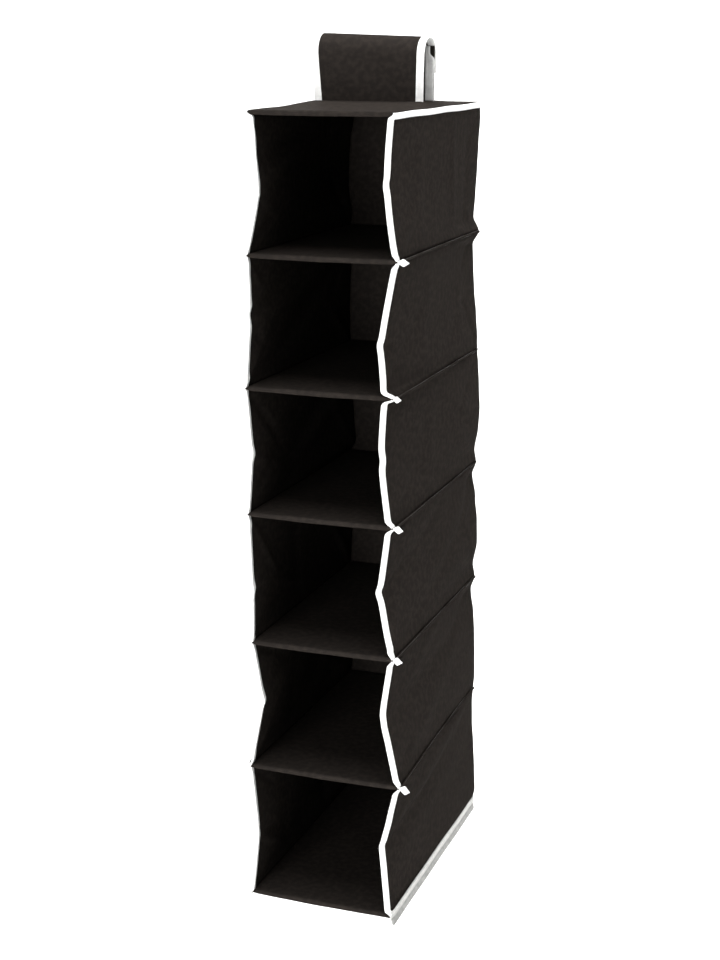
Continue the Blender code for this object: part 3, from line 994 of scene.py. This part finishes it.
class ORGANISER_OT_edge_bindings(bpy.types.Operator):
    """Makes the white tape along the side edges of the top and the bottom, with its stitches"""

    bl_idname = "organiser.edge_bindings"
    bl_label = "Edge bindings"

    def execute(self, context):
        looks = context.scene.organiser_looks
        # Each edge's compartment, which way up its tape is, its tuck, and how much narrower it is than its node
        edges = {"top": (1, -1, -0.6 * MM, 2.2 * MM), "bottom": (6, 1, 0.6 * MM, 0.6 * MM)}
        for place, (number, way, tuck, slim) in edges.items():
            low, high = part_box(f"{place}_binding_right")
            lines = []
            for word in SIDES:
                centre, width_way, normal = edge_tape_line(word, number, low.z, high.z, tuck)
                line, width = (centre, way * width_way, normal), high.z - low.z - slim
                # The bottom's tape is painted a little grey, as painted shade
                finish = finish_of("binding" if place == "top" else "lower_binding_painted_shade")
                made, sewn_lines = tape(f"{place}_edge_tape_{word}", line, width, looks.tape_thickness, finish)
                attach(made, place, "binding_tape", f"{place}_binding_{word}")
                lines += sewn_lines[:1]
            sewn = sew(f"{place}_edge_tape_stitches", lines, "white_thread", len(place))
            attach(sewn, place, "binding_tape")
        self.make_under_tapes(looks)
        return {"FINISHED"}

    def make_under_tapes(self, looks):
        """The bottom's own tape, which hangs down below the side panels' tape, painted grey as painted shade. It
        stands for no node.
        """
        low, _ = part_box("bottom_binding_right")
        drop = looks.under_tape_drop
        for word in SIDES:
            centre, *ways = edge_tape_line(word, 6, low.z - drop, low.z + 1.0 * MM, -2.0 * MM)
            grown = smoothstep(0, UNDER_START[word], centre[:, 1] - FRONT_Y)
            width = drop * (UNDER_NARROW + (UNDER_FULL - UNDER_NARROW) * grown)
            centre[:, 2] += (drop * UNDER_FULL - width) / 2
            sizes = (width[:, None], looks.tape_thickness)
            # This tape is painted grey all over, as painted shade on a tape that faces down
            name, finish = f"bottom_under_tape_painted_shade_{word}", finish_of("under_binding_painted_shade")
            made, _ = tape(name, (centre, *ways), *sizes, finish)
            attach(made, "bottom", "binding_tape")


def nub_rows(word, level):
    """A leaf of doubled tape at the front end of a pinched seam: rings of points from its root to its tip."""
    looks = bpy.context.scene.organiser_looks
    random = rng("nub", word, level)
    side = SIDES[word]
    length, height, sag = NUBS[level - 1]
    root_x = HALF_WIDTH - 2.2 * MM + max(ROOT_OUT[word][level], 0) * MM
    peak = random.uniform(0.52, 0.62)
    share = np.linspace(0, 1, 22)
    leaf = line_through([0, 0.16, peak, 0.97, 1], [0.26, 0.3, 1, 0.16, 0.02], share)
    half_z = 0.5 * looks.nub_height * height * leaf
    half_y = 1.9 * MM * leaf**0.7
    rows = []
    for s, hz, hy in zip(share, half_z, half_y):
        angle = np.linspace(0, 2 * math.pi, 24, endpoint=False)
        slit = 1 - 0.42 * np.exp(-((np.sin(angle) / 0.22) ** 2)) * (0.4 + 0.6 * s)
        x = np.full(24, side * (root_x + looks.nub_length * length * s))
        y = FRONT_Y + 1.6 * MM + (hy + 0.05 * MM) * np.cos(angle) * slit
        z = SEAM_Z[level] - sag * MM * s**1.5 + (hz + 0.05 * MM) * np.sin(angle)
        rows.append(np.stack([x, y, z], axis=1))
    return np.array(rows)


class ORGANISER_OT_seam_nubs(bpy.types.Operator):
    """Makes the small leaves of doubled tape where the front bindings are pinched at each shelf"""

    bl_idname = "organiser.seam_nubs"
    bl_label = "Seam nubs"

    def execute(self, context):
        finish = finish_of("binding")
        for place in SHELVES:
            for word in SIDES:
                rows = nub_rows(word, PLACES.index(place))
                made = grid_object(f"{place}_tape_nub_{word}", rows, finish, wrap=True, cap=True)
                attach(made, place, "binding_tape")
        return {"FINISHED"}


# ---------------------------------------------------------------- hanger


def loop_path(start_z, end_z):
    """The hanger's band from the side: y, z and the outward direction down its front leg, crown and rear leg."""
    radius = LOOP_RADIUS + STRAP_THICKNESS / 2
    points = [(-radius, z, -1.0, 0.0) for z in np.linspace(start_z, -LOOP_RADIUS, 24)[:-1]]
    for a in np.linspace(math.pi, 0, 41):
        points.append((radius * math.cos(a), radius * math.sin(a) - LOOP_RADIUS, math.cos(a), math.sin(a)))
    points += [(radius, z, 1.0, 0.0) for z in np.linspace(-LOOP_RADIUS, end_z, 14)[1:]]
    return np.array(points)


def hang(points, x):
    """Places a side view at each x, with the empty loop's droop, lean and slight waist."""
    looks = bpy.context.scene.organiser_looks
    y, z, out_y, out_z = points.T
    rise = np.clip((z - STRAP_LOW.z) / (STRAP_THICKNESS - STRAP_LOW.z), 0, 1)
    share = (x / LOOP_HALF + 1) / 2
    drop = looks.loop_droop * share * rise**1.5
    waist = 1 - (0.085 if x < 0 else 0.02) * np.clip(1 - rise, 0, 1) ** 1.4 * (y < 0)
    wave = 0.5 * MM * np.sin(x * 75 + z * 60) * np.sin(np.pi * rise)
    centre = np.stack([x * waist, y + out_y * wave, z - drop], axis=1)
    normal = np.stack([np.zeros(len(y)), out_y, out_z], axis=1)
    return centre, normal


class ORGANISER_OT_hanger(bpy.types.Operator):
    """Makes the hanger strap, its stub behind, and the bindings and stitches of both"""

    bl_idname = "organiser.hanger"
    bl_label = "Hanger"

    def execute(self, context):
        looks = context.scene.organiser_looks
        path = loop_path(STRAP_LOW.z, FLAP_END_Z)
        across = np.linspace(-(LOOP_HALF - 1.2 * MM), LOOP_HALF - 1.2 * MM, 40)
        rows = np.stack([hang(path, x)[0] for x in across], axis=1)
        strap = facing(grid_object("hanger_cloth_strap", rows, finish_of("cloth")), (0, 0, 1))
        thicken(strap, STRAP_THICKNESS)
        ride_strap(strap)
        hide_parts("hanger_strap", "hanger_flap")
        lines = []
        for word, side in SIDES.items():
            centre, normal = hang(path, side * (LOOP_HALF - LOOP_TAPE_WIDTH / 2))
            width_way = np.repeat([[-side * 1.0, 0.0, 0.0]], len(centre), axis=0)
            sizes = (LOOP_TAPE_WIDTH + 0.4 * MM, looks.tape_thickness)
            line, finish = (centre, width_way, normal), finish_of("binding")
            made, sewn_lines = tape(f"hanger_tape_{word}", line, *sizes, finish)
            ride_strap(made)
            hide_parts(f"strap_binding_{word}", f"flap_binding_{word}")
            lines += sewn_lines
        ride_strap(sew("hanger_tape_stitches", lines, "white_thread", 8))
        self.make_stub(looks)
        return {"FINISHED"}

    def make_stub(self, looks):
        """The stub behind the strap. Its bindings narrow at a slant near its top, where the flap fastens."""
        y = (STUB_LOW.y + STUB_HIGH.y) / 2
        heights = np.linspace(STUB_LOW.z, STUB_HIGH.z, 30)
        across = np.linspace(-(LOOP_HALF - 0.6 * MM), LOOP_HALF - 0.6 * MM, 34)
        zz, xx = np.meshgrid(heights, across, indexing="ij")
        yy = y + 0.25 * MM * np.sin(xx * 60) * np.sin(zz * 90)
        stub = grid_object("hanger_cloth_stub", np.stack([xx, yy, zz], axis=2), finish_of("cloth"))
        thicken(facing(stub, (0, 1, 0)), STUB_HIGH.y - STUB_LOW.y)
        attach(stub, "top", "nonwoven", "hanger_stub")
        lines = []
        for word, side in SIDES.items():
            z = np.linspace(STUB_LOW.z, STUB_HIGH.z - 1 * MM, 34)
            cut = smoothstep(STUB_BINDING_TOP - 1 * MM, STUB_BINDING_TOP + 5 * MM, z)
            width = STUB_TAPE_WIDTH - 5 * MM * cut
            x = side * (LOOP_HALF - STUB_TAPE_WIDTH - 0.5 * MM + width / 2)
            centre = np.stack([x, np.full(len(z), y), z], axis=1)
            width_way = np.repeat([[-side * 1.0, 0.0, 0.0]], len(z), axis=0)
            normal = np.repeat([[0.0, 1.0, 0.0]], len(z), axis=0)
            sizes = (width[:, None], looks.tape_thickness)
            line, finish = (centre, width_way, normal), finish_of("binding")
            made, sewn_lines = tape(f"stub_tape_{word}", line, *sizes, finish)
            attach(made, "top", "binding_tape", f"stub_binding_{word}")
            lines += sewn_lines
        attach(sew("stub_tape_stitches", lines, "white_thread", 9), "top", "binding_tape")


class ORGANISER_OT_fasteners(bpy.types.Operator):
    """Makes the hook tape on the flap and the loop tape on the stub, each with its pile"""

    bl_idname = "organiser.fasteners"
    bl_label = "Hook-and-loop tapes"

    def execute(self, context):
        piles = {
            # node: body, side that the pile is on, pitch, rise, span, filament, disorder
            "hook_tape": ("flap", -1, 1.6, 0.28, 0.5, 0.20, 0.12),
            "loop_tape": ("top", 1, 1.1, 0.26, 0.9, 0.14, 1.0),
        }
        for node, (body, side, pitch, rise, span, filament, disorder) in piles.items():
            low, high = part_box(node)
            material = finish_of("nylon")
            paint_node(node, material)
            values = {
                "Width": high.x - low.x - 3 * MM, "Height": high.z - low.z - 3 * MM, "Pitch": pitch * MM,
                "Rise": rise * MM, "Span": span * MM, "Filament": filament * MM, "Disorder": disorder,
                "Seed": 3, "Material": material,
            }
            pile = grow(f"{node}_pile", bpy.data.meshes.new(node), pile_tree(), values)
            points = np.array([v.co for v in pile.data.vertices])
            face = low.y if side < 0 else high.y
            middle = (low + high) / 2
            placed = np.stack(
                [middle.x + points[:, 0], face + side * points[:, 2], middle.z - side * points[:, 1]], axis=1
            )
            pile.data.vertices.foreach_set("co", placed.astype(np.float32).ravel())
            pile.data.update()
            attach(pile, body, "fastener_tape")
        return {"FINISHED"}


# ---------------------------------------------------------------- dark seams


class ORGANISER_OT_dark_seams(bpy.types.Operator):
    """Sews the pinched seams and the back of each shelf with black thread"""

    bl_idname = "organiser.dark_seams"
    bl_label = "Dark seams"

    def execute(self, context):
        y = np.linspace(FRONT_Y + 8 * MM, BACK_Y - 1 * MM, 60)
        for place in SHELVES:
            level = SEAM_Z[PLACES.index(place)]
            lines = []
            for word, side in SIDES.items():
                for way in (-1, 1):
                    x = side * (HALF_WIDTH + seam_out(word, PLACES.index(place), y) + 0.45 * fin_width(y, 0))
                    z = np.full(len(y), level + way * (ROOT_HALF + STITCH_LIFT))
                    lines.append(np.stack([x, y, z], axis=1))
            x = np.linspace(-HALF_WIDTH + 2 * MM, HALF_WIDTH - 2 * MM, 40)
            back = np.full(len(x), BACK_Y - 0.3 * MM)
            lines.append(np.stack([x, back, np.full(len(x), level)], axis=1))
            sewn = sew(f"{place}_seam_stitches", lines, "black_thread", PLACES.index(place))
            attach(sewn, place, "nonwoven")
        return {"FINISHED"}


# ---------------------------------------------------------------- stage


# Each light's place, what it faces (nothing for the organiser's middle), size, and power as a share of the key's
LIGHTS = {
    "key": ((-0.25, -2.5, -0.40), None, (1.1, 1.4), 1.0),
    "overhead": ((0.0, -0.1, 1.5), None, (2.0, 2.0), 0.95),
    "side": ((2.2, -0.9, 0.2), None, (1.2, 2.2), 0.1),
    "backdrop": ((0.0, 0.7, 1.7), (0.0, 2.3, -0.6), (4.0, 1.0), 1.4),
}
WORLD_STRENGTH = 0.28
SWEEP_BEND, SWEEP_BACK_Y, SWEEP_FRONT_Y, SWEEP_HALF, SWEEP_RISE = 0.8, 2.4, -9.0, 7.0, 4.5


def area_light(name, place, target, size, power):
    data = bpy.data.lights.new(name, "AREA")
    data.shape = "RECTANGLE"
    data.size, data.size_y = size
    data.energy = power
    made = add_object(name, data)
    made.location = place
    made.rotation_euler = (Vector(target) - Vector(place)).to_track_quat("-Z", "Y").to_euler()
    made.visible_camera = False
    return made


class ORGANISER_OT_stage(bpy.types.Operator):
    """Makes the pale floor and backdrop, the soft lights and the camera"""

    bl_idname = "organiser.stage"
    bl_label = "Stage"

    def execute(self, context):
        studio = context.scene.organiser_studio
        floor_z = BOTTOM_Z - studio.floor_gap
        bend, foot = SWEEP_BEND, SWEEP_BACK_Y - SWEEP_BEND
        profile = [(SWEEP_FRONT_Y, floor_z), (foot, floor_z)]
        for a in np.linspace(0, math.pi / 2, 12)[1:]:
            profile.append((foot + bend * math.sin(a), floor_z + bend - bend * math.cos(a)))
        profile.append((SWEEP_BACK_Y, floor_z + SWEEP_RISE))
        points = np.array([[(x, y, z) for x in (-SWEEP_HALF, SWEEP_HALF)] for y, z in profile])
        sweep = facing(grid_object("backdrop", points, finish_of("paper")), (0, 0, 1))
        middle = (0, 0, (TOP_Z + BOTTOM_Z) / 2)
        for name, (place, target, size, share) in LIGHTS.items():
            area_light(name, place, target or middle, size, studio.key_power * share)
        world = bpy.data.worlds.new("studio")
        world.use_nodes = True
        background = world.node_tree.nodes["Background"]
        background.inputs["Color"].default_value = linear("#ffffff")
        background.inputs["Strength"].default_value = WORLD_STRENGTH
        context.scene.world = world
        # The plain transform keeps the black cloth black and the white tape and paper white
        context.scene.view_settings.view_transform = "Standard"
        lens = bpy.data.cameras.new("camera")
        lens.lens = studio.focal_length
        lens.sensor_width = 36.0
        lens.shift_y = studio.camera_shift
        camera = add_object("camera", lens)
        camera.location = studio.camera_place
        camera.rotation_euler = (math.pi / 2 - studio.camera_pitch, 0, studio.camera_yaw)
        context.scene.camera = camera
        return {"FINISHED"}


# ---------------------------------------------------------------- panel and registration

STEPS = (
    ORGANISER_OT_boards,
    ORGANISER_OT_shelves,
    ORGANISER_OT_top_cover,
    ORGANISER_OT_side_panels,
    ORGANISER_OT_back_panels,
    ORGANISER_OT_front_bindings,
    ORGANISER_OT_edge_bindings,
    ORGANISER_OT_seam_nubs,
    ORGANISER_OT_hanger,
    ORGANISER_OT_fasteners,
    ORGANISER_OT_dark_seams,
    ORGANISER_OT_stage,
)


class ORGANISER_PT_panel(bpy.types.Panel):
    """Lists the organiser's settings and pieces"""

    bl_label = "Shoe organiser"
    bl_space_type = "VIEW_3D"
    bl_region_type = "UI"
    bl_category = "Organiser"

    def draw(self, context):
        for group in (context.scene.organiser_looks, context.scene.organiser_studio):
            for key in type(group).__annotations__:
                self.layout.prop(group, key)
        for step in STEPS:
            self.layout.operator(step.bl_idname)


CLASSES = (OrganiserLooks, OrganiserStudio, *STEPS, ORGANISER_PT_panel)


def register():
    for each in CLASSES:
        bpy.utils.register_class(each)
    bpy.types.Scene.organiser_looks = PointerProperty(type=OrganiserLooks)
    bpy.types.Scene.organiser_studio = PointerProperty(type=OrganiserStudio)


def unregister():
    del bpy.types.Scene.organiser_looks
    del bpy.types.Scene.organiser_studio
    for each in reversed(CLASSES):
        bpy.utils.unregister_class(each)


def main():
    register()
    for step in STEPS:
        group, action = step.bl_idname.split(".")
        getattr(getattr(bpy.ops, group), action)()


if __name__ == "__main__":
    main()
